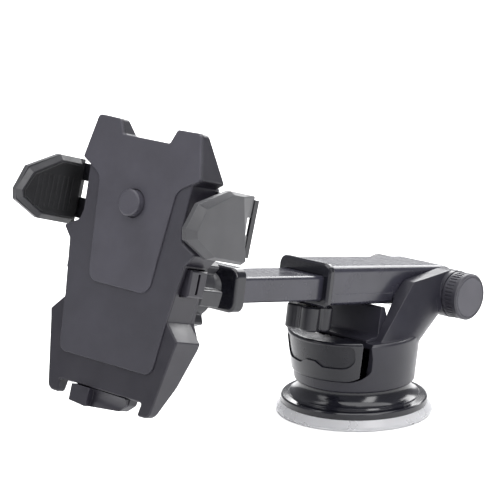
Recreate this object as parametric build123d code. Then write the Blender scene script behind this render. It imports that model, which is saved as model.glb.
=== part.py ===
from build123d import *
import math
import os

# Car phone mount, in millimetres and degrees.
# Origin: centre of the suction face. +Z up, -Y towards the cradle, +X the tilt knob's side.

# ---------------------------------------------------------------- suction base
PAD_R = 37.2
PAD_TOP = 4.6
RING_R = 34.8
RING_EDGE_TOP = 7.2
WAIST_R = 26.6
WAIST_Z = 15.4
BODY_R_LOW = 28.5
BODY_R_HIGH = 31.1
BODY_TOP = 39.1
WALL = 2.4

# ---------------------------------------------------------------- neck and tilt pivot
PIVOT_Y = 43.6
PIVOT_Z = 52.6
CHEEK_IN = 15.6
CHEEK_R = 11.7
PIVOT_SEAT = 25.6
BOLT_R = 2.5
KNOB_R = 11.1
KNOB_FACE = 34.2
STRIP_LOW = (-15.5, 34.1)
STRIP_TOP = (17.0, 62.5)

# ---------------------------------------------------------------- lock lever
LEVER_HALF = 25.2
LEVER_LOW = 21.5
LEVER_TOP = 40.3
LEVER_PROUD = 0.9
LEVER_GAP = 0.5
LEVER_PIN_Y = -20.5
LEVER_PIN_Z = 36.6
LEVER_PIN_R = 1.5
LEVER_PIN_END = 14.6
CRANK_LENGTH = 5.5
CRANK_ANGLE = -15.0
CRANK_Y = LEVER_PIN_Y + CRANK_LENGTH * math.cos(math.radians(CRANK_ANGLE))
CRANK_Z = LEVER_PIN_Z + CRANK_LENGTH * math.sin(math.radians(CRANK_ANGLE))
DECK_FRONT = -16.0
STEM_R = 3.0

# ---------------------------------------------------------------- telescopic arm (its own frame)
# Arm frame: origin on the tilt pivot, -Y along the arm towards the cradle, Z across it.
ARM_PITCH = 9.14
HOUSING_HALF = 15.1
HOUSING_TOP = 12.3
HOUSING_LOW = -5.9
HOUSING_SPLIT = -0.6
HOUSING_FRONT = -79.9
TUBE_HALF = 12.5
TUBE_LOW = -4.2
TUBE_TOP = 7.5
TUBE_WALL = 1.6
TUBE_FIT = 0.25
TUBE_REAR = -66.0
TUBE_FRONT = -133.6
CAP_FRONT = -140.5
CAP_HALF = 14.6
CAP_HEIGHT = 20.1
THUMB_Y = -74.2
STUD_R = 2.0
BALL_Y = -158.3
BALL_R = 8.0

# ---------------------------------------------------------------- cradle (its own frame)
# Cradle frame: origin at the ball's centre, -Y out of the phone plate, Z up the plate.
CRADLE_YAW = 5.3
CRADLE_PITCH = -14.9
CRADLE_ROLL = 2.4
FACE_Y = -41.8
FRONT_Y = -41.0
CASE_Y = -40.2
CASE_BACK = -25.3
COVER_BACK = -18.6
ARM_Z = 32.0
ARM_HALF = 12.0
ARM_BACK = -21.6
ARM_FRONT = -24.4
PITCH_R = 6.0
TEETH = 12
JAW_IN = 45.2
JAW_OUT = 51.2
BUTTON_R = 5.7

TUBE_MID = (TUBE_LOW + TUBE_TOP) / 2
ARM = Pos(0, PIVOT_Y, PIVOT_Z) * Rot(-ARM_PITCH, 0, 0)
BALL = (ARM * Pos(0, BALL_Y, TUBE_MID)).position
CRADLE = Pos(BALL.X, BALL.Y, BALL.Z) * Rot(0, 0, CRADLE_YAW) * Rot(CRADLE_PITCH, 0, 0) * Rot(0, CRADLE_ROLL, 0)


# ---------------------------------------------------------------- shape helpers
def block(x, y, z):
    """Box from three (low, high) pairs."""
    size = [high - low for low, high in (x, y, z)]
    mid = [(high + low) / 2 for low, high in (x, y, z)]
    return Pos(*mid) * Box(*size)


def rod_x(radius, low, high, y=0, z=0):
    """Cylinder along X."""
    return Pos((low + high) / 2, y, z) * Rot(0, 90, 0) * Cylinder(radius, high - low)


def rod_y(radius, low, high, x=0, z=0):
    """Cylinder along Y."""
    return Pos(x, (low + high) / 2, z) * Rot(90, 0, 0) * Cylinder(radius, high - low)


def rod_z(radius, low, high, x=0, y=0):
    """Cylinder along Z."""
    return Pos(x, y, (low + high) / 2) * Cylinder(radius, high - low)


def rounded(points, radius):
    """Face inside a closed outline of 3-D points with rounded corners."""
    return make_face(FilletPolyline(*points, radius=radius, close=True))


def slab_x(outline, low, high, radius=0.0):
    """Prism along X from an outline of (y, z) points."""
    face = rounded([(low, y, z) for y, z in outline], radius)
    return extrude(face, amount=high - low, dir=(1, 0, 0))


def slab_y(outline, low, high, radius=0.0):
    """Prism along Y from an outline of (x, z) points."""
    face = rounded([(x, low, z) for x, z in outline], radius)
    return extrude(face, amount=high - low, dir=(0, 1, 0))


def turned(profile, radius=0.0):
    """Solid of revolution about Z from (r, z) points."""
    return revolve(rounded([(r, 0, z) for r, z in profile], radius), Axis.Z)


def mirrored(points):
    """Closed outline from its right half, given from the top down."""
    return points + [(-x, z) for x, z in reversed(points)]


def tray_x(half, low, high, y, radius):
    """Rounded rectangular bar along Y, centred on X, between two heights."""
    outline = [(-half, low), (half, low), (half, high), (-half, high)]
    return slab_y(outline, y[0], y[1], radius)


def screw(length, head_r=2.4, shank_r=1.3, head=1.6):
    """Pan-head screw along -Z with its head's underside at the origin."""
    body = rod_z(shank_r, -length, 0) + rod_z(head_r, 0, head)
    slots = [Rot(0, 0, turn) * block((-1.5, 1.5), (-0.3, 0.3), (head - 0.8, head)) for turn in (0, 90)]
    return body - slots


def coil(radius, wire, height, turns):
    """Round-wire spring along Z from the origin up."""
    path = Helix(height / turns, height, radius)
    section = Plane(path @ 0, z_dir=path % 0) * Circle(wire)
    return sweep(section, path=path, is_frenet=True)


def half_of(shape, side):
    """The part of a shape on one side of the plane X = 0."""
    reach = 100
    low, high = (0, reach) if side > 0 else (-reach, 0)
    return shape & block((low, high), (-reach, reach), (-reach, 2 * reach))


# ---------------------------------------------------------------- base
def suction_pad():
    return turned([(0, 0), (PAD_R - 0.5, 0), (PAD_R, 0.7), (PAD_R - 0.2, 1.7), (PAD_R - 2.2, PAD_TOP), (0, PAD_TOP)])


def vacuum_disc():
    boss_r = 8.0
    boss_top = 9.6
    skin = 1.4
    disc = rod_z(RING_R - 3.4, PAD_TOP, PAD_TOP + skin) + rod_z(boss_r, PAD_TOP, boss_top)
    return disc - rod_z(STEM_R + 0.3, PAD_TOP + 0.9, boss_top)


def base_ring():
    """Ring over the pad: a flat rim, a small step and a concave flare up to the body's waist."""
    step_r, step_top = 30.9, 8.9
    flare = ThreePointArc((step_r, 0, step_top), (27.8, 0, 11.4), (WAIST_R, 0, WAIST_Z))
    lower = Polyline(
        (WAIST_R, 0, WAIST_Z),
        (0, 0, WAIST_Z),
        (0, 0, PAD_TOP),
        (RING_R, 0, PAD_TOP),
        (RING_R, 0, RING_EDGE_TOP),
        (RING_R - 0.6, 0, RING_EDGE_TOP + 0.6),
        (step_r + 0.3, 0, RING_EDGE_TOP + 0.9),
        (step_r, 0, step_top),
    )
    ring = revolve(make_face([lower, flare]), Axis.Z)
    web_low = WAIST_Z - 2.0
    hollow_r = RING_R - 3.0
    hollow = turned(
        [(0, PAD_TOP), (hollow_r, PAD_TOP), (hollow_r, 6.4), (28.4, 7.0), (24.0, web_low), (0, web_low)]
    )
    holes = [rod_z(1.5, web_low, WAIST_Z, *spot) for spot in base_screw_spots()]
    return ring - hollow - rod_z(STEM_R + 0.6, web_low, WAIST_Z) - holes


def base_screw_spots():
    reach = 20.0
    return [(reach * math.cos(math.radians(a)), reach * math.sin(math.radians(a))) for a in (45, 135, 225, 315)]


def base_screws():
    web_low = WAIST_Z - 2.0
    return [Pos(x, y, web_low) * Rot(180, 0, 0) * screw(6.0) for x, y in base_screw_spots()]


def neck_outline():
    """Side outline of the neck, from the foot of its front slope up to the pivot and back."""
    slope = (STRIP_TOP[1] - STRIP_LOW[1]) / (STRIP_TOP[0] - STRIP_LOW[0])
    foot_z = 30.0
    return [
        (STRIP_LOW[0] - (STRIP_LOW[1] - foot_z) / slope, foot_z),
        STRIP_TOP,
        (PIVOT_Y - 1.9, 64.1),
        (PIVOT_Y + 5.6, PIVOT_Z + CHEEK_R - 0.9),
        (PIVOT_Y + 13.2, PIVOT_Z),
        (PIVOT_Y + 5.6, PIVOT_Z - CHEEK_R),
        (PIVOT_Y - 4.0, PIVOT_Z - CHEEK_R - 0.2),
        (26.0, BODY_TOP - 0.4),
        (24.0, foot_z),
    ]


def neck_skirt(inset):
    """Ruled solid that turns the round body into the flat-sided neck, inset from its sides."""
    low_z, top_z = 34.0, 66.0
    body_r = BODY_R_LOW + 1.7 - inset
    front_y, back_y = -16.0, 16.0
    front_x = math.sqrt(body_r**2 - front_y**2)
    back_x = math.sqrt(body_r**2 - back_y**2)
    bottom = [
        ThreePointArc((front_x, front_y, low_z), (body_r, 0, low_z), (back_x, back_y, low_z)),
        Line((back_x, back_y, low_z), (-back_x, back_y, low_z)),
        ThreePointArc((-back_x, back_y, low_z), (-body_r, 0, low_z), (-front_x, front_y, low_z)),
        Line((-front_x, front_y, low_z), (front_x, front_y, low_z)),
    ]
    top_front, top_back = 21.6 - inset, 23.4 - inset
    near_y, far_y = 21.0, 62.0
    top = Polyline(
        (top_front, near_y, top_z),
        (top_back, far_y, top_z),
        (-top_back, far_y, top_z),
        (-top_front, near_y, top_z),
        close=True,
    )
    return loft([make_face(bottom), make_face(top)], ruled=True)


def neck_opening(gap):
    """Room between the cheeks: a straight channel that widens downwards at its front."""
    half = CHEEK_IN - gap
    wide = 21.6 - gap
    channel = block((-half, half), (-60, 80), (BODY_TOP, 80))
    outline = [(-wide, BODY_TOP), (wide, BODY_TOP), (half, 58.5), (half, 80), (-half, 80), (-half, 58.5)]
    return channel + slab_y(outline, -60, 9)


def neck():
    """Both cheeks, with flat seats for the knob and the cap, and hollows open to the body."""
    radii = [0.5, 1.2, 9.0, 7.5, 7.0, 7.5, 4.0, 0.5, 0.5]
    cheeks = neck_skirt(0) & slab_x(neck_outline(), -40, 40, radii)
    cheeks += rod_x(CHEEK_R - 0.3, -PIVOT_SEAT, PIVOT_SEAT, PIVOT_Y, PIVOT_Z)
    for sign in (-1, 1):
        seat = rod_x(CHEEK_R + 3.0, PIVOT_SEAT, PIVOT_SEAT + 10, PIVOT_Y, PIVOT_Z)
        hollow = block((CHEEK_IN + 2.6, 23.4), (0.0, 30.0), (30.0, 46.0))
        for cut in (seat, hollow):
            cheeks -= cut if sign > 0 else mirror(cut, Plane.YZ)
    return cheeks


def body_cone(inset):
    """Solid of the round body, inset from its outer wall."""
    return turned(
        [
            (0, WAIST_Z + inset),
            (BODY_R_LOW - inset, WAIST_Z + inset),
            (BODY_R_HIGH - inset, BODY_TOP - inset),
            (0, BODY_TOP - inset),
        ],
        [0, max(1.4 - inset / 2, 0.4), max(1.4 - inset / 2, 0.4), 0],
    )


def lever_opening(gap):
    """Front opening for the lever, larger than it by the gap all round."""
    half = LEVER_HALF + gap
    outline = [(-half, LEVER_LOW - gap), (half, LEVER_LOW - gap), (half, 60), (-half, 60)]
    return slab_y(outline, -50, -8, [9, 9, 0, 0])


def lever_posts():
    """Two posts on the floor that hold the lever's pin."""
    head_low = 26.0
    posts = []
    for low, high in ((-LEVER_PIN_END, -12.6), (12.6, LEVER_PIN_END)):
        leg = block((low, high), (LEVER_PIN_Y, DECK_FRONT - 0.5), (WAIST_Z + 1, head_low))
        head = block((low, high), (LEVER_PIN_Y - 1.8, DECK_FRONT - 0.5), (head_low, LEVER_PIN_Z + 1.9))
        posts.append(leg + head - rod_x(LEVER_PIN_R, low, high, LEVER_PIN_Y, LEVER_PIN_Z))
    return posts


def body_shell():
    """Round body with its neck, before it is split into halves."""
    shell = body_cone(0) + neck() - body_cone(WALL) - neck_opening(0)
    wall_cut = lever_opening(LEVER_GAP) - rod_z(BODY_R_LOW - WALL - 1.5, 0, BODY_TOP - WALL - 0.1)
    shell -= wall_cut & block((-40, 40), (-50, DECK_FRONT), (LEVER_LOW - 2, 60))
    floor_hole = rod_z(7.0, WAIST_Z, WAIST_Z + WALL)
    pilot_holes = [rod_z(1.3, WAIST_Z, WAIST_Z + WALL + 2, *spot) for spot in base_screw_spots()]
    deck_slots = block((-8, 8), (-20, -11.8), (36, 40)) + block((-4.2, 4.2), (-20, 8.0), (36, 40))
    for post in lever_posts():
        shell += post
    bolt_hole = rod_x(BOLT_R, -40, 40, PIVOT_Y, PIVOT_Z)
    for cut in (floor_hole, deck_slots, bolt_hole, *pilot_holes):
        shell -= cut
    return shell


def shell_screw_spots():
    return [(23.0, 33.0), (23.0, 21.0)]


def shell_screw_holes():
    return [rod_x(1.2, -4.0, 5.0, y, z) for y, z in shell_screw_spots()]


def shell_bosses():
    """Screw bosses that join the two halves at the back, on the plane X = 0."""
    return [block((-5, 5), (y - 3, y + 4.6), (z - 3, z + 3)) & body_cone(1.0) for y, z in shell_screw_spots()]


def base_shell(side):
    shell = half_of(body_shell(), side)
    for boss in shell_bosses():
        shell += half_of(boss, side)
    for hole in shell_screw_holes():
        shell -= hole
    return shell


def shell_screws():
    return [Pos(5, y, z) * Rot(0, 90, 0) * screw(9.0, 2.2, 1.2) for y, z in shell_screw_spots()]


def neck_cover():
    """Steep wall between the cheeks, with a foot over the slots in the deck."""
    foot_top = BODY_TOP + 1.4
    outline = [
        (DECK_FRONT + 0.2, BODY_TOP),
        (DECK_FRONT + 0.2, foot_top),
        (-7.6, foot_top),
        (-1.0, 52.6),
        (1.4, 52.6),
        (1.4, 49.0),
        (-4.6, BODY_TOP),
    ]
    wall = slab_x(outline, -30, 30, [0, 0.6, 2.0, 0.8, 0.5, 0, 0])
    return wall & neck_opening(0.1)


def lock_lever():
    """Wide curved tongue with its hub, ears and crank."""
    grown = turned(
        [
            (0, WAIST_Z),
            (BODY_R_LOW + LEVER_PROUD, WAIST_Z),
            (BODY_R_HIGH + LEVER_PROUD, BODY_TOP),
            (BODY_R_HIGH + LEVER_PROUD - 0.4, LEVER_TOP),
            (0, LEVER_TOP),
        ],
        [0, 0, 1.5, 1.2, 0],
    )
    core = turned([(0, 0), (24.8, 0), (26.0, WAIST_Z), (28.6, LEVER_TOP - 1.4), (0, LEVER_TOP - 1.4)])
    tongue = (grown - core) & lever_opening(0) & block((-30, 30), (-40, LEVER_PIN_Y - 0.5), (0, 60))
    recess = lever_recess(0)
    ears = []
    for low, high in ((-12.2, -8.6), (8.6, 12.2)):
        ears.append(block((low, high), (-26.8, LEVER_PIN_Y), (LEVER_PIN_Z - 3.4, LEVER_TOP - 1.0)))
    hub_r = 3.7
    hub = rod_x(hub_r, -12.2, 12.2, LEVER_PIN_Y, LEVER_PIN_Z) - block((-5.4, 5.4), (-30, 0), (0, 60))
    webs = []
    for low, high in ((-7.4, -4.4), (4.4, 7.4)):
        web = rod_x(2.6, low, high, CRANK_Y, CRANK_Z) + rod_x(hub_r, low, high, LEVER_PIN_Y, LEVER_PIN_Z)
        webs.append(web)
    crank = rod_x(1.2, -4.6, 4.6, CRANK_Y, CRANK_Z)
    lever = tongue - recess + ears + hub + webs + crank
    pin_hole = rod_x(LEVER_PIN_R + 0.05, -15, 15, LEVER_PIN_Y, LEVER_PIN_Z)
    return lever - pin_hole


def lever_recess(depth):
    """Volume of the recessed panel on the lever's face, starting at a depth below it."""
    half = LEVER_HALF - 4.0
    low = LEVER_LOW + 6.2
    bump = 4.2
    outline = [
        (-half, 38.6),
        (-half, low),
        (-bump - 2.5, low),
        (-bump + 1.5, low + 2.4),
        (bump - 1.5, low + 2.4),
        (bump + 2.5, low),
        (half, low),
        (half, 38.6),
    ]
    window = slab_y(outline, -50, -8, [2, 6, 2.5, 2.0, 2.0, 2.5, 6, 2])
    sunk = 1.3
    top = LEVER_PROUD - depth
    outer = turned([(0, WAIST_Z), (BODY_R_LOW + top, WAIST_Z), (BODY_R_HIGH + top, BODY_TOP), (0, BODY_TOP)])
    floor = LEVER_PROUD - sunk
    inner = turned([(0, WAIST_Z), (BODY_R_LOW + floor, WAIST_Z), (BODY_R_HIGH + floor, BODY_TOP), (0, BODY_TOP)])
    return window & ((outer if depth else outer + rod_z(60, 0, 60)) - inner)


def lever_inlay():
    return lever_recess(0.7)


def lever_pin():
    return rod_x(LEVER_PIN_R, -LEVER_PIN_END, LEVER_PIN_END, LEVER_PIN_Y, LEVER_PIN_Z)


def pull_stem():
    """Lifting rod with a forked tongue that takes the lever's crank."""
    low, high = CRANK_Z - 3.6, CRANK_Z + 2.8
    rod = rod_z(STEM_R, 8.6, high)
    tongue = block((-3.4, 3.4), (LEVER_PIN_Y + LEVER_PIN_R + 0.5, 3.4), (low, high))
    slot = block((-4, 4), (-20, CRANK_Y + 1.8), (CRANK_Z - 1.65, CRANK_Z + 1.65))
    collar = rod_z(6.2, 30.0, low)
    return rod + (tongue - slot) + collar


def stem_spring():
    wire = 0.45
    bottom = WAIST_Z + 0.1 + wire
    return Pos(0, 0, bottom) * coil(4.6, wire, 30.0 - WAIST_Z - 0.2 - 2 * wire, 6)


# ---------------------------------------------------------------- tilt pivot
def pivot_bolt():
    head = Pos(-PIVOT_SEAT - 1.6, PIVOT_Y, PIVOT_Z) * Rot(0, 90, 0)
    head *= extrude(RegularPolygon(4.4, 6), 1.6)
    return head + rod_x(BOLT_R, -PIVOT_SEAT, PIVOT_SEAT + 5.2, PIVOT_Y, PIVOT_Z)


def pivot_cap():
    cap = rod_x(8.6, -PIVOT_SEAT - 3.6, -PIVOT_SEAT, PIVOT_Y, PIVOT_Z)
    cap = chamfer(cap.faces().sort_by(Axis.X)[0].edges(), 1.2)
    pocket = Pos(-PIVOT_SEAT - 1.6, PIVOT_Y, PIVOT_Z) * Rot(0, 90, 0) * extrude(RegularPolygon(4.4, 6), 1.6)
    return cap - pocket


def friction_washers():
    inner = HOUSING_HALF + 0.05
    washers = []
    for low, high in ((inner, CHEEK_IN), (-CHEEK_IN, -inner)):
        washers.append(rod_x(9.5, low, high, PIVOT_Y, PIVOT_Z) - rod_x(BOLT_R, low, high, PIVOT_Y, PIVOT_Z))
    return washers


def tilt_knob():
    """Round knob with fine axial ribs and a recessed end face."""
    low = PIVOT_SEAT + 0.4
    body = rod_x(KNOB_R, low, KNOB_FACE, PIVOT_Y, PIVOT_Z)
    body = chamfer(body.faces().sort_by(Axis.X)[-1].edges(), 0.7)
    ribs = 40
    grooves = []
    for index in range(ribs):
        turn = Rot(index * 360 / ribs, 0, 0)
        groove = block((low + 1.2, KNOB_FACE - 2.6), (KNOB_R - 0.35, KNOB_R + 1), (-0.4, 0.4))
        grooves.append(Pos(0, PIVOT_Y, PIVOT_Z) * turn * groove)
    recess = rod_x(KNOB_R - 1.5, KNOB_FACE - 0.8, KNOB_FACE, PIVOT_Y, PIVOT_Z)
    nut_pocket = Pos(low, PIVOT_Y, PIVOT_Z) * Rot(0, 90, 0) * extrude(RegularPolygon(4.6, 6), 5.2)
    return body - grooves - recess - nut_pocket


def knob_cap():
    cap = rod_x(KNOB_R - 1.6, KNOB_FACE - 0.8, KNOB_FACE + 0.1, PIVOT_Y, PIVOT_Z)
    return chamfer(cap.faces().sort_by(Axis.X)[-1].edges(), 0.25)


def knob_nut():
    low = PIVOT_SEAT + 0.4
    nut = Pos(low, PIVOT_Y, PIVOT_Z) * Rot(0, 90, 0) * extrude(RegularPolygon(4.6, 6), 5.2)
    return nut - rod_x(BOLT_R + 0.05, low, low + 5.2, PIVOT_Y, PIVOT_Z)


# ---------------------------------------------------------------- telescopic arm, in the arm frame
def pivot_bush():
    half = HOUSING_HALF - 0.1
    return ARM * (rod_x(4.5, -half, half) - rod_x(BOLT_R + 0.05, -half, half))


def housing_body():
    """Outer shape of the arm's housing with its bores, before it is split."""
    side = [
        (HOUSING_FRONT + 1.5, HOUSING_LOW),
        (HOUSING_FRONT + 1.5, HOUSING_TOP),
        (11.5, HOUSING_TOP),
        (11.5, -11.0),
        (-9.0, -11.0),
        (-24.0, HOUSING_LOW),
    ]
    bar = slab_x(side, -HOUSING_HALF, HOUSING_HALF, [0, 0, 11.0, 10.5, 8.0, 14.0])
    length = (HOUSING_FRONT - 1, 20)
    section = tray_x(HOUSING_HALF, -20, HOUSING_TOP, length, [0, 0, 3.2, 3.2])
    lower_round = tray_x(HOUSING_HALF, HOUSING_LOW, 30, (HOUSING_FRONT - 1, -24), [2.0, 2.0, 0, 0])
    lower_round += block((-HOUSING_HALF, HOUSING_HALF), (-24, 20), (-20, 30))
    boss = rod_z(6.4, HOUSING_LOW - 1.6, HOUSING_LOW + 1, 0, THUMB_Y)
    boss &= block((-10, 10), (HOUSING_FRONT + 1.5, 0), (-20, 0))
    bar = (bar & section & lower_round) + boss
    fit = TUBE_FIT
    bore = tray_x(TUBE_HALF + fit, TUBE_LOW - fit, TUBE_TOP + fit, (HOUSING_FRONT - 2, -14), 1.9)
    pivot = rod_x(4.5, -20, 20)
    stud = rod_z(STUD_R + 0.4, HOUSING_LOW - 5, TUBE_LOW, 0, THUMB_Y)
    nut = Pos(0, THUMB_Y, HOUSING_LOW - 1.6) * extrude(RegularPolygon(4.0, 6), 2.4)
    return bar - bore - pivot - stud - nut - housing_screw_holes()


def housing_screw_spots():
    return [(x, y) for x in (-13.9, 13.9) for y in (-58.0, -22.0)]


def housing_screw_holes():
    shafts = [rod_z(0.6, HOUSING_LOW + 0.8, HOUSING_SPLIT + 3, x, y) for x, y in housing_screw_spots()]
    return shafts


def housing_screws():
    spots = housing_screw_spots()
    return [ARM * rod_z(0.6, HOUSING_LOW + 0.8, HOUSING_SPLIT + 3, x, y) for x, y in spots]


def housing_upper():
    return ARM * (housing_body() & block((-30, 30), (-100, 30), (HOUSING_SPLIT, 40)))


def housing_lower():
    return ARM * (housing_body() & block((-30, 30), (-100, 30), (-40, HOUSING_SPLIT)))


def housing_rim():
    """Flanged collar at the housing's mouth, leaning back towards its top."""
    grow = 1.0
    length = 3.0
    back = HOUSING_FRONT + 1.5
    low, high = HOUSING_LOW - grow, HOUSING_TOP + grow
    collar = tray_x(HOUSING_HALF + grow, low, high, (back - length, back), [2.6, 2.6, 4.0, 4.0])
    front = collar.faces().sort_by(Axis.Y)[0]
    collar = chamfer(front.edges(), 1.0)
    fit = TUBE_FIT
    bore = tray_x(TUBE_HALF + fit, TUBE_LOW - fit, TUBE_TOP + fit, (back - length, back), 1.9)
    return ARM * (collar - bore)


def thumb_nut():
    nut = Pos(0, THUMB_Y, HOUSING_LOW - 1.6) * extrude(RegularPolygon(4.0, 6), 2.4)
    return ARM * (nut - rod_z(STUD_R + 0.05, HOUSING_LOW - 2, HOUSING_LOW + 2, 0, THUMB_Y))


def thumb_stud():
    return ARM * rod_z(STUD_R, HOUSING_LOW - 9.0, TUBE_LOW - 0.35, 0, THUMB_Y)


def thumb_screw():
    """Four-lobed grip under the housing's mouth."""
    top = HOUSING_LOW - 1.9
    height = 11.6
    reach = 6.2
    lobes = [Rot(0, 0, 45 + 90 * turn) * Pos(reach, 0) * Circle(4.4) for turn in range(4)]
    section = Circle(7.6) + lobes
    grip = extrude(fillet(section.vertices(), 1.6), height)
    grip = chamfer(grip.faces().filter_by(Axis.Z).edges(), 0.8)
    stud = rod_z(STUD_R, HOUSING_LOW - 9.0, top, 0, THUMB_Y)
    return ARM * (Pos(0, THUMB_Y, top - height) * grip - stud)


def arm_tube():
    outer = tray_x(TUBE_HALF, TUBE_LOW, TUBE_TOP, (TUBE_FRONT, TUBE_REAR), 1.6)
    wall = TUBE_WALL
    inner = tray_x(TUBE_HALF - wall, TUBE_LOW + wall, TUBE_TOP - wall, (TUBE_FRONT, TUBE_REAR), 0.8)
    return ARM * (outer - inner)


def tube_stop():
    wall = TUBE_WALL
    plug = tray_x(TUBE_HALF - wall, TUBE_LOW + wall, TUBE_TOP - wall, (TUBE_REAR - 6, TUBE_REAR), 0.8)
    return ARM * plug


def end_cap():
    low, high = TUBE_MID - CAP_HEIGHT / 2, TUBE_MID + CAP_HEIGHT / 2
    plate = tray_x(CAP_HALF, low, high, (CAP_FRONT, TUBE_FRONT), 4.5)
    plate = fillet(plate.faces().sort_by(Axis.Y)[0].edges(), 1.6)
    plate = chamfer(plate.faces().sort_by(Axis.Y)[-1].edges(), 0.6)
    wall = TUBE_WALL
    plug = tray_x(TUBE_HALF - wall, TUBE_LOW + wall, TUBE_TOP - wall, (TUBE_FRONT, TUBE_FRONT + 8), 0.8)
    bolt = rod_y(1.6, CAP_FRONT - 1, TUBE_FRONT + 9, 0, TUBE_MID)
    return ARM * (plate + plug - bolt)


def ball_stud():
    ball = Pos(0, BALL_Y, TUBE_MID) * Sphere(BALL_R)
    neck = Pos(0, CAP_FRONT, TUBE_MID) * Rot(90, 0, 0) * Cone(6.4, 4.0, 8.0, align=(Align.CENTER, Align.CENTER, Align.MIN))
    shaft = rod_y(4.0, BALL_Y, CAP_FRONT - 6, 0, TUBE_MID)
    root = rod_y(1.6, CAP_FRONT - 1, TUBE_FRONT + 9, 0, TUBE_MID)
    return ARM * (ball + neck + shaft + root)


# ---------------------------------------------------------------- ball joint, in the cradle frame
SEAT_IN = BALL_R + 0.3
SEAT_OUT = SEAT_IN + 1.3
SOCKET_IN = SEAT_OUT + 0.3


def ball_shell(front, back):
    """Ring of the ball seat between two planes across Y."""
    shell = Sphere(SEAT_OUT) - Sphere(SEAT_IN)
    return CRADLE * (shell & block((-20, 20), (front, back), (-20, 20)))


def ball_cup():
    return ball_shell(-20, -3.0)


def ball_ring():
    return ball_shell(0.8, 4.5)


def collar_nut():
    """Nut round the socket with six square grip lugs."""
    lug_r = 17.0
    front, back = -6.5, 7.2
    lugs = [Rot(0, 0, 60 * index - 7) * Pos(lug_r / 2, 0) * Rectangle(lug_r, 7.2) for index in range(6)]
    section = Circle(13.0) + lugs
    nut = extrude(fillet(section.vertices(), 0.9), back - front)
    nut = chamfer(nut.faces().filter_by(Axis.Z).edges(), 0.6)
    nut = Pos(0, back, 0) * Rot(90, 0, 0) * nut
    return CRADLE * (nut - rod_y(11.8, front, 5.0) - rod_y(8.4, 5.0, back))


# ---------------------------------------------------------------- cradle, in the cradle frame
def case_outline():
    """Right half of the case's front outline, from the top notch down to the foot notch."""
    return [
        (13.1, 59.8),
        (16.0, 66.0),
        (28.4, 66.3),
        (32.8, 47.3),
        (28.7, 44.9),
        (27.6, 25.4),
        (29.0, 20.8),
        (36.8, 17.1),
        (32.4, 12.2),
        (28.8, -11.8),
        (36.2, -19.1),
        (35.2, -23.0),
        (29.0, -52.7),
        (22.4, -52.8),
        (23.6, -47.1),
    ]


def plate_outline():
    """Right half of the front plate, which tapers off below the side levers."""
    return case_outline()[:10] + [(28.8, -13.0), (26.2, -35.3)]


def panel_outline():
    """Right half of the upper face panel."""
    return case_outline()[:4] + [(28.6, 45.1), (21.6, 41.2), (17.0, -3.1)]


CASE_RADII = [1.2, 1.5, 2.2, 1.0, 0.8, 3.0, 3.0, 0.8, 1.0, 1.0, 1.0, 1.5, 3.5, 1.0, 0.8]
PLATE_RADII = CASE_RADII[:10] + [1.0, 4.5]
PANEL_RADII = CASE_RADII[:4] + [0.8, 6.0, 5.5]


def both(radii):
    return radii + list(reversed(radii))


def case_side():
    """Side outline (y, z) of the case: full depth in the middle, thin at the top and bottom."""
    return [
        (CASE_Y, -53.0),
        (CASE_Y, 67.0),
        (-37.0, 67.0),
        (CASE_BACK, 46.5),
        (CASE_BACK, -22.0),
        (-29.5, -38.5),
        (-36.8, -53.0),
    ]


def case_cavity():
    """Room for the mechanism, open to the back."""
    inner = [(26.0, 43.0), (24.6, 25.0), (25.4, 14.0), (25.8, -14.0)]
    return slab_y(mirrored(inner), CASE_Y + 2.0, CASE_BACK + 5, 1.0)


def foot_slot():
    return block((-16.3, 16.3), (-37.6, -32.0), (-54, -33.0)) + block((-16.3, 16.3), (-50, -32.0), (-54, -46.9))


def cradle_case():
    """Main case: two horns, side ears, waist and chin."""
    front = slab_y(mirrored(case_outline()), CASE_Y, CASE_BACK, both(CASE_RADII))
    edge = [line for line in front.faces().sort_by(Axis.Y)[0].edges()]
    front = chamfer(edge, 0.5)
    side = slab_x(case_side(), -60, 60, [0, 0, 2, 6, 5, 10, 1.0])
    case = front & side
    windows = []
    for sign in (-1, 1):
        windows.append(Pos(sign * 29, 0, 5.3) * block((-7, 7), (-37.9, -26.4), (-6.1, 6.1)))
    button = rod_y(BUTTON_R + 0.35, CASE_Y - 1, CASE_Y + 3, 0, ARM_Z + 0.5)
    rail = block((-20, 20), (CASE_BACK - 1.2, CASE_BACK + 1), (ARM_Z - ARM_HALF - 0.3, ARM_Z + ARM_HALF + 0.3))
    rail += block((-40, 40), (-24.7, CASE_BACK + 1), (ARM_Z - ARM_HALF - 0.3, ARM_Z + ARM_HALF + 0.3))
    return CRADLE * (case - case_cavity() - windows - button - foot_slot() - rail - case_screw_holes())


def case_screw_spots():
    return [(x, z) for x in (-21.5, 21.5) for z in (-17.0, 46.0)]


def case_screw_holes():
    return [rod_y(1.3, CASE_BACK - 6.0, CASE_BACK + 1, x, z) for x, z in case_screw_spots()]


def case_screws():
    spots = case_screw_spots()
    return [CRADLE * Pos(x, COVER_BACK - 1.7, z) * Rot(-90, 0, 0) * screw(9.5, 2.2, 1.3, 1.5) for x, z in spots]


def front_plate():
    plate = slab_y(mirrored(plate_outline()), FRONT_Y, CASE_Y, both(PLATE_RADII))
    plate = chamfer(plate.faces().sort_by(Axis.Y)[0].edges(), 0.3)
    return CRADLE * (plate - rod_y(BUTTON_R + 0.35, FRONT_Y - 1, CASE_Y + 1, 0, ARM_Z + 0.5))


def face_panel():
    panel = slab_y(mirrored(panel_outline()), FACE_Y, FRONT_Y, both(PANEL_RADII))
    panel = chamfer(panel.faces().sort_by(Axis.Y)[0].edges(), 0.3)
    return CRADLE * (panel - rod_y(BUTTON_R + 0.35, FACE_Y - 1, FRONT_Y + 1, 0, ARM_Z + 0.5))


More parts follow.
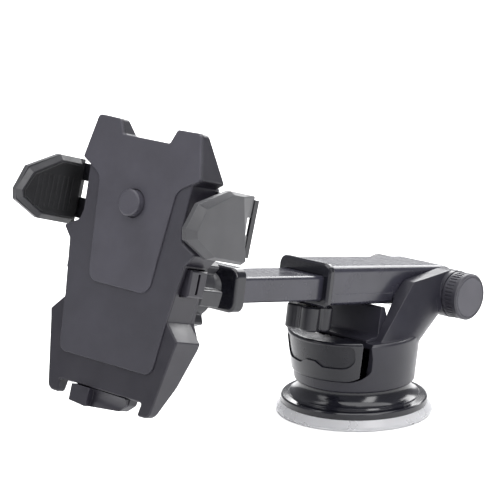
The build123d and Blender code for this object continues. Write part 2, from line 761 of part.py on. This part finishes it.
def trigger_button():
    """Round button that the phone presses, with a wide flange behind the case wall."""
    z = ARM_Z + 0.5
    cap = rod_y(BUTTON_R, FACE_Y - 3.3, CASE_Y + 2.1, 0, z)
    cap = fillet(cap.faces().sort_by(Axis.Y)[0].edges(), 0.9)
    flange = rod_y(BUTTON_R + 1.8, CASE_Y + 2.05, CASE_Y + 3.2, 0, z)
    stem = rod_y(2.0, CASE_Y + 3.0, CASE_Y + 7.0, 0, z)
    return CRADLE * (cap + flange + stem)


def trigger_spring():
    wire = 0.35
    spring = Rot(-90, 0, 0) * coil(3.4, wire, 4.0, 4)
    return CRADLE * Pos(0, CASE_Y + 3.6, ARM_Z + 0.5) * spring


def cover_outline():
    """Right half of the back cover's outline."""
    return [(20.0, 49.5), (26.4, 44.9), (25.2, 25.0), (27.6, 14.0), (26.8, -12.0), (31.0, -19.0), (22.0, -21.6)]


def cradle_back():
    """Back cover with the ball socket; its sides are open where the arms slide."""
    cover = slab_y(mirrored(cover_outline()), CASE_BACK, COVER_BACK, both([3, 2, 6, 3, 2, 2, 3]))
    cover = chamfer(cover.faces().sort_by(Axis.Y)[-1].edges(), 1.6)
    hollow = slab_y([(18.5, 43.5), (18.5, -16.0), (-18.5, -16.0), (-18.5, 43.5)], CASE_BACK, -20.6, 1.0)
    arm_path = block((-60, 60), (CASE_BACK, -21.4), (ARM_Z - ARM_HALF - 0.3, ARM_Z + ARM_HALF + 0.3))
    cover = cover - hollow - arm_path
    socket = rod_y(13.6, COVER_BACK - 1, -10) + rod_y(11.5, -10, 4.6)
    socket = socket - Sphere(SOCKET_IN) - rod_y(8.6, 0, 6)
    post = rod_y(1.8, -24.2, -20.0, 0, ARM_Z)
    return CRADLE * (cover + socket + post - cover_screw_holes())


def cover_screw_holes():
    holes = []
    for x, z in case_screw_spots():
        holes.append(rod_y(1.3, CASE_BACK, COVER_BACK, x, z) + rod_y(2.2, COVER_BACK - 1.7, COVER_BACK + 1, x, z))
    return holes


def tooth(root_r, tip_r, root_w, tip_w):
    """One tooth outline along +X as (x, z) points."""
    return [(root_r, -root_w / 2), (tip_r, -tip_w / 2), (tip_r, tip_w / 2), (root_r, root_w / 2)]


def pinion():
    """Small gear on the cover's post that moves both arms together."""
    root_r = PITCH_R - 1.2
    tip_r = PITCH_R + 0.8
    gear = rod_y(root_r, ARM_FRONT + 0.2, ARM_BACK, 0, 0)
    for index in range(TEETH):
        spike = slab_y(tooth(root_r - 0.3, tip_r, 1.9, 0.8), ARM_FRONT + 0.2, ARM_BACK)
        gear += Rot(0, index * 360 / TEETH, 0) * spike
    bore = rod_y(1.85, ARM_FRONT, ARM_BACK)
    return CRADLE * Pos(0, 0, ARM_Z) * (gear - bore)


def pinion_spring():
    """Coil spring in front of the pinion that drives the arms closed."""
    wire = 0.4
    spring = Rot(-90, 0, 0) * coil(3.6, wire, 3.0, 3)
    return CRADLE * Pos(0, ARM_FRONT - 3.7, ARM_Z) * spring


def slide_arm(side):
    """Rack arm: a flat plate outside the case and a toothed bar behind the pinion."""
    top = side > 0
    pitch_z = ARM_Z + (PITCH_R if top else -PITCH_R)
    away = 1 if top else -1
    edge = pitch_z + away * 1.25
    bar_end = edge + away * 2.6
    y = (ARM_FRONT, ARM_BACK)
    inner = -4.2
    bar = block((inner, 30.0), y, (min(edge, bar_end), max(edge, bar_end)))
    module_pitch = 2 * math.pi * PITCH_R / TEETH
    teeth = []
    for index in range(-1, 5):
        centre = (index + 0.5) * module_pitch
        tip = pitch_z - away * 0.75
        points = [
            (centre - 0.85, edge + away * 0.2),
            (centre - 0.35, tip),
            (centre + 0.35, tip),
            (centre + 0.85, edge + away * 0.2),
        ]
        teeth.append(slab_y(points, y[0], y[1]))
    plate = block((24.5, JAW_OUT - 2.0), y, (ARM_Z - ARM_HALF, ARM_Z + ARM_HALF))
    window = block((39.5, 48.0), y, (29.0, 36.5))
    arm = bar + teeth + plate - window
    return CRADLE * (arm if side > 0 else mirror(arm, Plane.YZ))


def jaw_outline():
    """Side outline (y, z) of a jaw's widest section."""
    return [
        (ARM_FRONT, 45.6),
        (-41.0, 46.0),
        (-59.0, 38.8),
        (-63.8, 28.4),
        (-62.6, 24.0),
        (-47.6, 17.4),
        (ARM_FRONT, 16.8),
    ]


def jaw_face_outline():
    """Side outline (y, z) of a jaw's flat outer face."""
    return [
        (-34.4, 44.6),
        (-40.4, 44.7),
        (-55.9, 37.4),
        (-59.2, 28.0),
        (-58.2, 25.2),
        (-45.6, 18.8),
        (-25.2, 18.2),
    ]


def ring_face(outline, x, radius):
    return rounded([(x, y, z) for y, z in outline], radius)


def inner_outline(inset):
    """Jaw outline drawn in from its edges, for the rim and the pad."""
    return [
        (ARM_FRONT - 3.2, 45.6 - inset),
        (-40.6, 46.0 - inset),
        (-58.2 + 0.7 * inset, 38.2 - 0.7 * inset),
        (-63.8 + inset, 28.4),
        (-62.2 + 0.8 * inset, 24.6 + 0.5 * inset),
        (-47.2, 17.4 + inset),
        (ARM_FRONT - 3.2, 16.8 + inset),
    ]


def jaw(side):
    """Hexagonal jaw with a bevelled rim on both sides."""
    widest = ring_face(jaw_outline(), 46.8, 0.8)
    waist = extrude(widest, amount=2.0, dir=(1, 0, 0))
    outer = loft([ring_face(jaw_outline(), 48.8, 0.8), ring_face(jaw_face_outline(), JAW_OUT, 0.8)])
    inner = loft([ring_face(inner_outline(2.2), JAW_IN, 0.8), ring_face(inner_outline(0), 46.8, 0.8)])
    notch = block((40, 60), (-28.2, -20), (29.0, 36.5))
    arm_room = block((40, JAW_OUT - 2.0), (ARM_FRONT, 0), (0, 60))
    body = waist + outer + inner - notch - arm_room
    return CRADLE * (body if side > 0 else mirror(body, Plane.YZ))


def jaw_pad(side):
    """Ribbed rubber pad on a jaw's inner face."""
    base = extrude(ring_face(inner_outline(3.2), JAW_IN - 1.0, 0.8), amount=1.0, dir=(1, 0, 0))
    ribs = [block((JAW_IN - 1.3, JAW_IN - 0.9), (y, y + 0.9), (22.5, 37.0)) for y in range(-54, -30, 3)]
    pad = base + ribs
    return CRADLE * (pad if side > 0 else mirror(pad, Plane.YZ))


def release(side):
    """Side lever with a finger slot, its flange inside the case."""
    z = (-0.4, 11.0)
    grip = block((25.8, 34.6), (-37.5, -26.8), z)
    grip = chamfer(grip.faces().sort_by(Axis.X)[-1].edges(), 0.7)
    slot = block((31.6, 36), (-32.9, -31.5), (1.0, 9.6))
    flange = block((21.4, 25.0), (-37.5, -28.0), (-2.4, 13.0))
    neck = block((24.8, 26.0), (-37.0, -28.0), z)
    lever = grip - slot + flange + neck
    return CRADLE * (lever if side > 0 else mirror(lever, Plane.YZ))


def foot():
    """Small tapered foot that slides out of the chin."""
    outline = [(15.3, -34.0), (15.3, -47.2), (14.9, -50.2), (10.6, -53.6), (-6.0, -55.2), (-15.1, -54.4), (-15.3, -47.2), (-15.3, -34.0)]
    body = slab_y(outline, -37.3, -32.3, [1, 1, 2, 2, 1, 1, 1, 1])
    toe = slab_y([(14.8, -47.3), (14.6, -50.2), (10.6, -53.6), (-6.0, -55.2), (-15.1, -54.4), (-15.0, -47.3)], -41.2, -36, 0.5)
    scoop = Pos(4.5, -45.0, -52.0) * Rot(0, 4, 0) * rod_x(7.2, -9.5, 20)
    return CRADLE * (body + (toe - scoop))


# ---------------------------------------------------------------- export
PARTS = {
    "suction_pad": suction_pad(),
    "vacuum_disc": vacuum_disc(),
    "base_ring": base_ring(),
    "base_shell_left": base_shell(-1),
    "base_shell_right": base_shell(1),
    "neck_cover": neck_cover(),
    "base_screws": base_screws(),
    "shell_screws": shell_screws(),
    "lever_pin": lever_pin(),
    "lock_lever": lock_lever(),
    "lever_inlay": lever_inlay(),
    "pull_stem": pull_stem(),
    "stem_spring": stem_spring(),
    "pivot_bolt": pivot_bolt(),
    "pivot_cap": pivot_cap(),
    "friction_washers": friction_washers(),
    "tilt_knob": tilt_knob(),
    "knob_cap": knob_cap(),
    "knob_nut": knob_nut(),
    "pivot_bush": pivot_bush(),
    "housing_upper": housing_upper(),
    "housing_lower": housing_lower(),
    "housing_rim": housing_rim(),
    "housing_screws": housing_screws(),
    "thumb_nut": thumb_nut(),
    "thumb_stud": thumb_stud(),
    "thumb_screw": thumb_screw(),
    "arm_tube": arm_tube(),
    "tube_stop": tube_stop(),
    "end_cap": end_cap(),
    "ball_stud": ball_stud(),
    "ball_cup": ball_cup(),
    "ball_ring": ball_ring(),
    "collar_nut": collar_nut(),
    "cradle_case": cradle_case(),
    "case_screws": case_screws(),
    "front_plate": front_plate(),
    "face_panel": face_panel(),
    "trigger_button": trigger_button(),
    "trigger_spring": trigger_spring(),
    "cradle_back": cradle_back(),
    "pinion": pinion(),
    "pinion_spring": pinion_spring(),
    "arm_left": slide_arm(-1),
    "arm_right": slide_arm(1),
    "jaw_left": jaw(-1),
    "jaw_right": jaw(1),
    "jaw_pad_left": jaw_pad(-1),
    "jaw_pad_right": jaw_pad(1),
    "release_left": release(-1),
    "release_right": release(1),
    "foot": foot(),
}

os.makedirs("parts", exist_ok=True)
for name, shape in PARTS.items():
    solids = shape if isinstance(shape, list) else [shape]
    export_step(Compound(children=solids) if len(solids) > 1 else solids[0], f"parts/{name}.step")
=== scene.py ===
import math

import bmesh
import bpy
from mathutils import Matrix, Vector


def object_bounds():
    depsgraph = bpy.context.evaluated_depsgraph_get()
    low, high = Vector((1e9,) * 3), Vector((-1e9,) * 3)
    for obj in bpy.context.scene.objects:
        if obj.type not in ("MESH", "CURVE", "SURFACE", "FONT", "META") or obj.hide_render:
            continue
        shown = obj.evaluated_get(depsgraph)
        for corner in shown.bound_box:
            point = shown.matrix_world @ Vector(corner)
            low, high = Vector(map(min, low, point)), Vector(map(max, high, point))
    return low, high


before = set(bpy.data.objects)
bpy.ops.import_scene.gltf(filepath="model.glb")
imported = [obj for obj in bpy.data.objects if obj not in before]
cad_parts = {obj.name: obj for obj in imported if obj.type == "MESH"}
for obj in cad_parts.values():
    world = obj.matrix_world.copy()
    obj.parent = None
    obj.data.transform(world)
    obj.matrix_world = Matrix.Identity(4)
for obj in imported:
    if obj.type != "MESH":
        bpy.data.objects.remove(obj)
cad_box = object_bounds()

MM = 0.001

# Inputs of the colour Mix node, which has one set of sockets for each kind of data
MIX_FACTOR, MIX_FIRST, MIX_SECOND, MIX_COLOUR = 0, 6, 7, 2

# The middle stretch of a noise value, where nearly all of it lies
NOISE_LOW, NOISE_HIGH = 0.3, 0.7

# ---------------------------------------------------------------- camera
CAMERA_AZIMUTH = 44.46
CAMERA_ELEVATION = 12.93
CAMERA_DISTANCE = 0.950
CAMERA_TARGET = Vector((0.0, -0.0706, 0.0888))
CAMERA_LENS = 153.95
CAMERA_SENSOR = 36.0


def direction(azimuth, elevation):
    """Unit vector from the object towards an angle, measured from -Y towards +X."""
    turn, lift = math.radians(azimuth), math.radians(elevation)
    return Vector((math.cos(lift) * math.sin(turn), -math.cos(lift) * math.cos(turn), math.sin(lift)))


def aim(obj, place, target):
    """Put an object at a place, looking at the target with its top up."""
    obj.location = place
    obj.rotation_euler = (target - place).to_track_quat("-Z", "Y").to_euler()


def add_camera():
    """Camera at the photograph's viewing angle."""
    data = bpy.data.cameras.new("camera")
    data.lens = CAMERA_LENS
    data.sensor_width = CAMERA_SENSOR
    data.clip_start = 0.01
    camera = bpy.data.objects.new("camera", data)
    bpy.context.scene.collection.objects.link(camera)
    place = CAMERA_TARGET + CAMERA_DISTANCE * direction(CAMERA_AZIMUTH, CAMERA_ELEVATION)
    aim(camera, place, CAMERA_TARGET)
    bpy.context.scene.camera = camera


# ---------------------------------------------------------------- light and floor
WORLD_COLOUR = (0.93, 0.94, 1.0, 1)
WORLD_STRENGTH = 0.45
OVERHEAD_STRENGTH = 3.4
OVERHEAD_SPREAD = math.radians(70)
FLOOR_RADIUS = 7.0
FLOOR_GAP = 0.3 * MM


def softbox(name, azimuth, elevation, distance, size, power):
    """Rectangular light on a sphere round the object, facing it."""
    data = bpy.data.lights.new(name, "AREA")
    data.shape = "RECTANGLE"
    data.size, data.size_y = size
    data.energy = power
    light = bpy.data.objects.new(name, data)
    bpy.context.scene.collection.objects.link(light)
    aim(light, CAMERA_TARGET + distance * direction(azimuth, elevation), CAMERA_TARGET)


def add_light():
    """Even light from the world and a wide overhead sun, and three soft boxes for the reflections."""
    world = bpy.data.worlds.new("studio")
    world.use_nodes = True
    background = world.node_tree.nodes["Background"]
    background.inputs["Color"].default_value = WORLD_COLOUR
    background.inputs["Strength"].default_value = WORLD_STRENGTH
    bpy.context.scene.world = world
    bpy.context.scene.view_settings.view_transform = "Standard"
    sun = bpy.data.lights.new("overhead", "SUN")
    sun.energy = OVERHEAD_STRENGTH
    sun.angle = OVERHEAD_SPREAD
    overhead = bpy.data.objects.new("overhead", sun)
    bpy.context.scene.collection.objects.link(overhead)
    softbox("key", 80, 30, 1.2, (0.4, 0.9), 9.0)
    softbox("fill", -20, 35, 1.4, (0.8, 0.8), 6.0)
    softbox("rim", 200, 30, 1.3, (1.4, 0.5), 18.0)


def add_floor():
    """Plain pale disc under the object, wide enough to fill the view."""
    mesh = bpy.data.meshes.new("floor")
    shape = bmesh.new()
    bmesh.ops.create_circle(shape, cap_ends=True, segments=96, radius=FLOOR_RADIUS)
    shape.to_mesh(mesh)
    shape.free()
    floor = bpy.data.objects.new("floor", mesh)
    floor.location.z = cad_box[0][2] - FLOOR_GAP
    bpy.context.scene.collection.objects.link(floor)
    floor.data.materials.append(floor_material())


# ---------------------------------------------------------------- material building blocks
def node(tree, kind, **settings):
    """New shader node of a kind, with its settings."""
    made = tree.nodes.new("ShaderNode" + kind)
    for key, value in settings.items():
        setattr(made, key, value)
    return made


def noise(tree, coords, scale, detail=3.0):
    """Noise value from 0 to 1, with about that many features per metre."""
    made = node(tree, "TexNoise")
    made.inputs["Scale"].default_value = scale
    made.inputs["Detail"].default_value = detail
    made.inputs["Roughness"].default_value = 0.55
    tree.links.new(coords, made.inputs["Vector"])
    return made.outputs[0]


def spread(tree, value, low, high, new_low, new_high):
    """Stretch a value from one range to another, and hold it at the ends."""
    made = node(tree, "MapRange")
    made.inputs["From Min"].default_value = low
    made.inputs["From Max"].default_value = high
    made.inputs["To Min"].default_value = new_low
    made.inputs["To Max"].default_value = new_high
    tree.links.new(value, made.inputs["Value"])
    return made.outputs["Result"]


def mixed(tree, factor, first, second):
    """Colour mix, in which first and second are sockets or colours."""
    made = node(tree, "Mix", data_type="RGBA")
    tree.links.new(factor, made.inputs[MIX_FACTOR])
    for index, colour in ((MIX_FIRST, first), (MIX_SECOND, second)):
        if isinstance(colour, tuple):
            made.inputs[index].default_value = (*colour, 1)
        else:
            tree.links.new(colour, made.inputs[index])
    return made.outputs[MIX_COLOUR]


def arithmetic(tree, operation, first, second):
    """Result of one sum on two values."""
    made = node(tree, "Math", operation=operation)
    tree.links.new(first, made.inputs[0])
    tree.links.new(second, made.inputs[1])
    return made.outputs[0]


def edge_mask(tree, radius):
    """Rounded-edge normal, and how strongly each point lies on an edge."""
    bevel = node(tree, "Bevel", samples=6)
    bevel.inputs["Radius"].default_value = radius
    geometry = node(tree, "NewGeometry")
    dot = node(tree, "VectorMath", operation="DOT_PRODUCT")
    tree.links.new(bevel.outputs[0], dot.inputs[0])
    tree.links.new(geometry.outputs["Normal"], dot.inputs[1])
    return bevel.outputs[0], spread(tree, dot.outputs["Value"], 0.998, 0.86, 0.0, 1.0)


def scaled(colour, factor):
    """Lighter or darker copy of a colour."""
    return tuple(min(channel * factor, 1.0) for channel in colour)


def bumped(tree, shader, height, strength, distance, normal=None):
    """Bump the shader's surface with a height, over a rounded-edge normal if there is one."""
    bump = node(tree, "Bump")
    bump.inputs["Strength"].default_value = strength
    bump.inputs["Distance"].default_value = distance
    tree.links.new(height, bump.inputs["Height"])
    if normal:
        tree.links.new(normal, bump.inputs["Normal"])
    tree.links.new(bump.outputs[0], shader.inputs["Normal"])


def start_material(name):
    """New material with its node tree, its shader and the object's own coordinates."""
    material = bpy.data.materials.new(name)
    material.use_nodes = True
    tree = material.node_tree
    shader = tree.nodes["Principled BSDF"]
    coords = node(tree, "TexCoord").outputs["Object"]
    return material, tree, shader, coords


# ---------------------------------------------------------------- materials
def plastic(name, colour, rough, grain, edge, grain_size=0.4, round_edge=0.4, specular=0.4):
    """Moulded plastic with a mottled colour, uneven gloss, spark-eroded grain and worn edges.

    grain is the depth of the grain, from 0 to 1, and grain_size its spacing in mm. edge says how much
    lighter the worn edges are, and round_edge how wide they are in mm.
    """
    material, tree, shader, coords = start_material(name)
    normal, edges = edge_mask(tree, round_edge * MM)
    mottle = noise(tree, coords, 55.0)
    specks = noise(tree, coords, 900.0, 2.0)
    patches = spread(tree, mottle, NOISE_LOW, NOISE_HIGH, 0.0, 1.0)
    tone = mixed(tree, patches, scaled(colour, 0.86), scaled(colour, 1.14))
    tone = mixed(tree, spread(tree, specks, 0.66, 0.84, 0.0, 0.12), tone, scaled(colour, 1.6))
    rubbed = spread(tree, noise(tree, coords, 140.0), 0.35, 0.65, 0.25, 1.0)
    wear = arithmetic(tree, "MULTIPLY", edges, rubbed)
    tone = mixed(tree, wear, tone, scaled(colour, edge))
    tree.links.new(tone, shader.inputs["Base Color"])
    smears = noise(tree, coords, 120.0)
    gloss = spread(tree, smears, NOISE_LOW, NOISE_HIGH, rough - 0.05, rough + 0.06)
    polish = spread(tree, wear, 0.0, 1.0, 0.0, 0.10)
    tree.links.new(arithmetic(tree, "SUBTRACT", gloss, polish), shader.inputs["Roughness"])
    pits = noise(tree, coords, 1.0 / (grain_size * MM), 2.0)
    bumped(tree, shader, pits, max(grain, 0.04), 0.10 * MM, normal)
    shader.inputs["Specular IOR Level"].default_value = specular
    return material


def metal(name, colour, rough):
    """Plated or turned metal with fine lines across its height and darker stains."""
    material, tree, shader, coords = start_material(name)
    normal, edges = edge_mask(tree, 0.2 * MM)
    mapping = node(tree, "Mapping")
    mapping.inputs["Scale"].default_value = (60.0, 60.0, 2500.0)
    tree.links.new(coords, mapping.inputs["Vector"])
    lines = noise(tree, mapping.outputs[0], 1.0)
    stain = noise(tree, coords, 180.0)
    tone = mixed(tree, spread(tree, stain, NOISE_LOW, NOISE_HIGH, 0.0, 1.0), scaled(colour, 0.78), colour)
    tone = mixed(tree, edges, tone, scaled(colour, 1.25))
    tree.links.new(tone, shader.inputs["Base Color"])
    gloss = spread(tree, lines, NOISE_LOW, NOISE_HIGH, rough - 0.07, rough + 0.10)
    tree.links.new(gloss, shader.inputs["Roughness"])
    bumped(tree, shader, lines, 0.15, 0.05 * MM, normal)
    shader.inputs["Metallic"].default_value = 1.0
    return material


def rubber(name, colour, rough):
    """Matt rubber with a dusty bloom and fine pores."""
    material, tree, shader, coords = start_material(name)
    normal, edges = edge_mask(tree, 0.3 * MM)
    bloom = noise(tree, coords, 90.0, 4.0)
    tone = mixed(tree, spread(tree, bloom, 0.35, 0.75, 0.0, 0.8), colour, scaled(colour, 1.7))
    tone = mixed(tree, edges, tone, scaled(colour, 2.2))
    tree.links.new(tone, shader.inputs["Base Color"])
    gloss = spread(tree, bloom, NOISE_LOW, NOISE_HIGH, rough - 0.08, rough + 0.06)
    tree.links.new(gloss, shader.inputs["Roughness"])
    bumped(tree, shader, noise(tree, coords, 3500.0, 2.0), 0.4, 0.08 * MM, normal)
    shader.inputs["Specular IOR Level"].default_value = 0.25
    return material


def gel(name, colour):
    """Clear soft gel: cloudy tint, thin dusty bloom and a faint ripple."""
    material, tree, shader, coords = start_material(name)
    cloud = noise(tree, coords, 70.0, 4.0)
    dust = noise(tree, coords, 1400.0, 2.0)
    tone = mixed(tree, spread(tree, cloud, NOISE_LOW, NOISE_HIGH, 0.0, 1.0), scaled(colour, 0.93), colour)
    tone = mixed(tree, spread(tree, dust, 0.66, 0.8, 0.0, 0.5), tone, (0.95, 0.95, 0.95))
    tree.links.new(tone, shader.inputs["Base Color"])
    tree.links.new(spread(tree, cloud, NOISE_LOW, NOISE_HIGH, 0.22, 0.38), shader.inputs["Roughness"])
    bumped(tree, shader, noise(tree, coords, 260.0), 0.25, 0.2 * MM)
    shader.inputs["Transmission Weight"].default_value = 0.55
    shader.inputs["IOR"].default_value = 1.42
    return material


def floor_material():
    """Pale matt paper with very faint patches."""
    material, tree, shader, coords = start_material("floor")
    patches = spread(tree, noise(tree, coords, 3.0), NOISE_LOW, NOISE_HIGH, 0.0, 1.0)
    tone = mixed(tree, patches, (0.90, 0.90, 0.90), (0.94, 0.94, 0.94))
    tree.links.new(tone, shader.inputs["Base Color"])
    shader.inputs["Roughness"].default_value = 0.9
    shader.inputs["Specular IOR Level"].default_value = 0.1
    return material


# ---------------------------------------------------------------- what each piece is made of
PANEL = (0.036, 0.0345, 0.044)
PLATE = (0.022, 0.021, 0.028)
CASE = (0.013, 0.012, 0.017)
GLOSS = (0.006, 0.006, 0.009)
BODY = (0.014, 0.0135, 0.019)
JAW = (0.030, 0.030, 0.033)
RACK = (0.010, 0.010, 0.012)
ARM = (0.020, 0.0195, 0.028)
GRIP = (0.010, 0.010, 0.013)
KNOB = (0.024, 0.023, 0.030)
ACETAL = (0.030, 0.030, 0.033)
STEEL = (0.56, 0.56, 0.58)
BRASS = (0.72, 0.55, 0.27)
RUBBER = (0.010, 0.010, 0.011)
GEL = (0.82, 0.82, 0.84)

ACETAL_NODES = [
    "pull_stem",
    "friction_washers",
    "pivot_bush",
    "tube_stop",
    "ball_cup",
    "ball_ring",
    "pinion",
    "ball_stud",
]
STEEL_NODES = [
    "base_screws",
    "shell_screws",
    "lever_pin",
    "stem_spring",
    "pivot_bolt",
    "housing_screws",
    "thumb_stud",
    "case_screws",
    "trigger_spring",
    "pinion_spring",
]


def dress(names, material):
    """Give each named CAD node one material."""
    for name in names:
        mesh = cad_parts[name].data
        mesh.materials.clear()
        mesh.materials.append(material)


def dress_cradle():
    """Plastics of the phone holder and its moving parts."""
    panel = plastic("face_panel_plastic", PANEL, 0.55, 0.30, 2.0, 0.45, 0.25, 0.35)
    plate = plastic("front_plate_plastic", PLATE, 0.55, 0.30, 2.4, 0.45, 0.25, 0.35)
    button = plastic("button_plastic", PANEL, 0.42, 0.15, 1.8)
    case = plastic("case_plastic", CASE, 0.36, 0.14, 2.4, specular=0.35)
    jaw = plastic("jaw_plastic", JAW, 0.40, 0.16, 2.6)
    rack = plastic("rack_plastic", RACK, 0.34, 0.08, 2.2, round_edge=0.25, specular=0.35)
    dress(["face_panel"], panel)
    dress(["front_plate"], plate)
    dress(["trigger_button", "knob_cap"], button)
    dress(["cradle_case", "cradle_back", "release_left", "release_right", "foot"], case)
    dress(["jaw_left", "jaw_right"], jaw)
    dress(["arm_left", "arm_right"], rack)


def dress_arm():
    """Plastics of the telescopic arm, its screw, its knob and the collar nut."""
    arm = plastic("arm_plastic", ARM, 0.24, 0.05, 2.0, 0.5, 0.35, 0.45)
    grip = plastic("grip_plastic", GRIP, 0.32, 0.10, 2.6)
    knob = plastic("knob_plastic", KNOB, 0.42, 0.12, 2.4, round_edge=0.25)
    dress(["arm_tube", "housing_upper", "housing_lower"], arm)
    dress(["thumb_screw", "collar_nut"], grip)
    dress(["tilt_knob"], knob)


def dress_base():
    """Body, ring and lever of the suction base, and its clear pad."""
    body = plastic("body_plastic", BODY, 0.34, 0.12, 2.2, grain_size=0.35, specular=0.35)
    polished = plastic("polished_plastic", GLOSS, 0.16, 0.03, 3.0, 0.5, 0.45, 0.45)
    inlay = plastic("inlay_plastic", GLOSS, 0.26, 0.05, 3.0, 0.5, 0.3, 0.3)
    dress(["base_shell_left", "base_shell_right", "neck_cover", "pivot_cap"], body)
    dress(["base_ring", "lock_lever", "end_cap", "housing_rim"], polished)
    dress(["lever_inlay"], inlay)
    dress(["suction_pad"], gel("clear_gel", GEL))


def dress_fittings():
    """Inner plastic, steel and brass parts, and the rubber ones."""
    dress(ACETAL_NODES, plastic("acetal", ACETAL, 0.30, 0.05, 1.8, 0.6, 0.3, 0.45))
    dress(STEEL_NODES, metal("zinc_steel", STEEL, 0.30))
    dress(["knob_nut", "thumb_nut"], metal("turned_brass", BRASS, 0.28))
    dress(["jaw_pad_left", "jaw_pad_right", "vacuum_disc"], rubber("black_rubber", RUBBER, 0.72))


add_camera()
add_light()
add_floor()
dress_cradle()
dress_arm()
dress_base()
dress_fittings()
